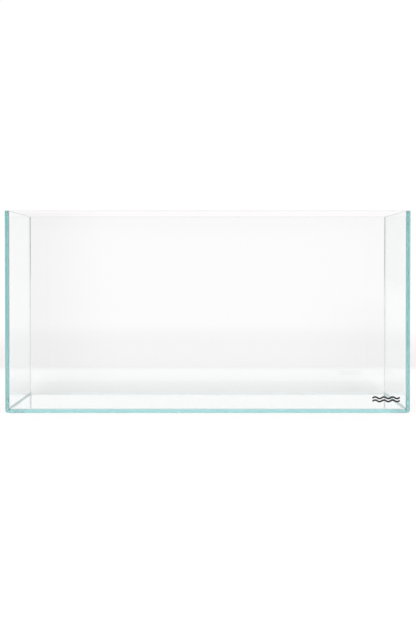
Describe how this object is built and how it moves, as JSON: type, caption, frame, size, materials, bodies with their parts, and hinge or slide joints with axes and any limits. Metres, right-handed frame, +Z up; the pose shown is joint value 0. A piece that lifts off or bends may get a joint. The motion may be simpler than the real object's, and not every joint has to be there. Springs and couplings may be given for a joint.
{
  "type": "glass aquarium tank",
  "caption": "Open-topped rimless glass tank with a flat floor pane, bonded and sealed with clear silicone, for holding water, fish and plants.",
  "frame": {"origin": "middle of the footprint, on the surface that the tank stands on", "axes": "+X along the tank's width, to the right seen from the front; -Y out of the front pane, which carries the mark; +Z up"},
  "size_m": [0.9, 0.4502, 0.45],
  "materials": {
    "low_iron_glass": "float glass, polished, edges ground with a narrow arris",
    "clear_silicone": "clear aquarium silicone, cured and smooth",
    "black_enamel": "screen-printed enamel, fired on"
  },
  "bodies": {
    "root": {"front_pane": "low_iron_glass", "rear_pane": "low_iron_glass", "left_pane": "low_iron_glass", "right_pane": "low_iron_glass", "floor_pane": "low_iron_glass", "front_left_upright_bond": "clear_silicone", "front_right_upright_bond": "clear_silicone", "rear_left_upright_bond": "clear_silicone", "rear_right_upright_bond": "clear_silicone", "front_floor_bond": "clear_silicone", "rear_floor_bond": "clear_silicone", "left_floor_bond": "clear_silicone", "right_floor_bond": "clear_silicone", "front_left_upright_bead": "clear_silicone", "front_right_upright_bead": "clear_silicone", "rear_left_upright_bead": "clear_silicone", "rear_right_upright_bead": "clear_silicone", "front_floor_bead": "clear_silicone", "rear_floor_bead": "clear_silicone", "left_floor_bead": "clear_silicone", "right_floor_bead": "clear_silicone", "printed_mark": "black_enamel"}
  },
  "joints": []
}
